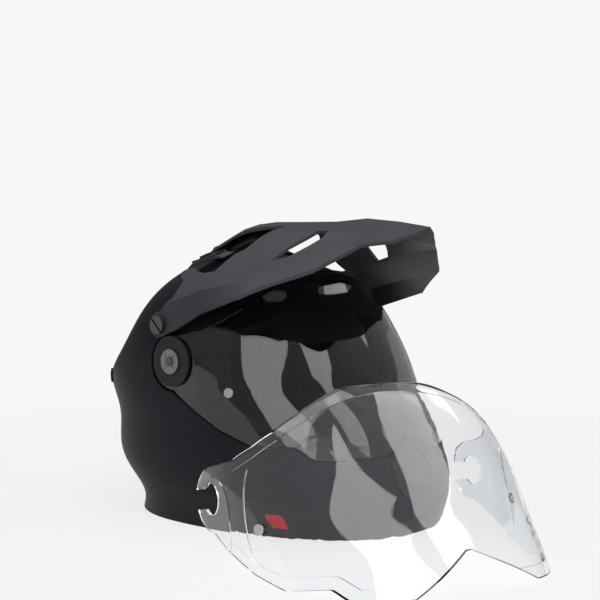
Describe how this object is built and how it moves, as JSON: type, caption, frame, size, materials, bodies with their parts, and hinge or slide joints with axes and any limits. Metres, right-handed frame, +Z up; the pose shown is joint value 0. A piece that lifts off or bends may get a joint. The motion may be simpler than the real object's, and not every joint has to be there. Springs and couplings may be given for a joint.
{
  "type": "dual sport helmet",
  "caption": "Full-face dual sport helmet with a peak, a smoke shield that turns open, vents, liner and straps, with its clear spare shield standing in front of it.",
  "frame": {"origin": "on the floor plane under the middle of the neck opening, on the line across the shell's widest place", "axes": "-Y towards the wearer's front, +X towards the wearer's left, +Z up"},
  "size_m": [0.3392, 0.4829, 0.262],
  "materials": {
    "shell": "matt paint over a moulded composite shell",
    "peak": "matt",
    "trim": "matt",
    "panel": "fine grain",
    "dark_plastic": "satin",
    "tab": "woven",
    "smoke": "polished, injection moulded polycarbonate",
    "clear": "polished, clear injection moulded polycarbonate",
    "rubber": "matt",
    "metal": "satin",
    "dark_metal": "black oxide",
    "foam": "expanded bead foam",
    "fabric": "brushed knit",
    "webbing": "woven webbing"
  },
  "bodies": {
    "root": {"outer_shell": "shell", "base_trim": "trim", "trim_tab": "tab", "eyeport_gasket": "rubber", "pivot_plate_right": "dark_plastic", "pivot_plate_left": "dark_plastic", "pivot_cover_right": "dark_plastic", "pivot_cover_left": "dark_plastic", "pivot_disc_right": "metal", "pivot_disc_left": "metal", "pivot_screws": "dark_metal", "peak": "peak", "peak_bosses": "metal", "peak_top_bracket": "dark_plastic", "peak_top_screw": "dark_metal", "crown_vent_bases": "dark_plastic", "rear_vent_covers": "dark_plastic", "chin_vent_panel": "panel", "chin_vent_mesh": "metal", "eps_liner": "foam", "crown_liner": "fabric", "rear_liner": "fabric", "cheek_pad_left": "fabric", "cheek_pad_right": "fabric", "chin_eps": "foam", "neck_roll": "fabric", "breath_deflector": "rubber", "chin_curtain": "fabric", "strap_left": "webbing", "strap_right": "webbing", "strap_anchors": "metal", "spare_shield": "clear", "spare_lens_pins": "clear"},
    "shield": {"smoke_shield": "smoke", "shield_lens_pins": "dark_plastic"},
    "peak_screw_right": {"peak_screw_right": "dark_metal"},
    "peak_screw_left": {"peak_screw_left": "dark_metal"},
    "crown_slider_right": {"crown_slider_right": "dark_plastic"},
    "crown_slider_left": {"crown_slider_left": "dark_plastic"},
    "chin_shutter": {"chin_vent_shutter": "dark_plastic"},
    "d_ring_long": {"d_ring_long": "metal"},
    "d_ring_short": {"d_ring_short": "metal"}
  },
  "joints": [
    {"name": "shield_pivot", "type": "hinge", "parent": "root", "child": "shield", "pos_m": [0, -0.003, 0.141], "axis": [-1, 0, 0], "range_deg": [0, 33]},
    {"name": "peak_screw_right_turn", "type": "hinge", "parent": "root", "child": "peak_screw_right", "pos_m": [-0.127, 0.009, 0.1715], "axis": [-1, 0, 0], "range_deg": [0, 90]},
    {"name": "peak_screw_left_turn", "type": "hinge", "parent": "root", "child": "peak_screw_left", "pos_m": [0.127, 0.009, 0.1715], "axis": [1, 0, 0], "range_deg": [0, 90]},
    {"name": "crown_vent_right", "type": "slide", "parent": "root", "child": "crown_slider_right", "axis": [0, 0.9755, -0.2199], "range_m": [0, 0.008]},
    {"name": "crown_vent_left", "type": "slide", "parent": "root", "child": "crown_slider_left", "axis": [0, 0.9755, -0.2199], "range_m": [0, 0.008]},
    {"name": "chin_vent", "type": "slide", "parent": "root", "child": "chin_shutter", "axis": [0, 0, -1], "range_m": [0, 0.009]},
    {"name": "long_ring_swing", "type": "hinge", "parent": "root", "child": "d_ring_long", "pos_m": [0.05976, 0.028, 0.0083], "axis": [0, 1, 0], "range_deg": [0, 50]},
    {"name": "short_ring_swing", "type": "hinge", "parent": "root", "child": "d_ring_short", "pos_m": [0.05636, 0.028, 0.0083], "axis": [0, 1, 0], "range_deg": [0, 50]}
  ]
}
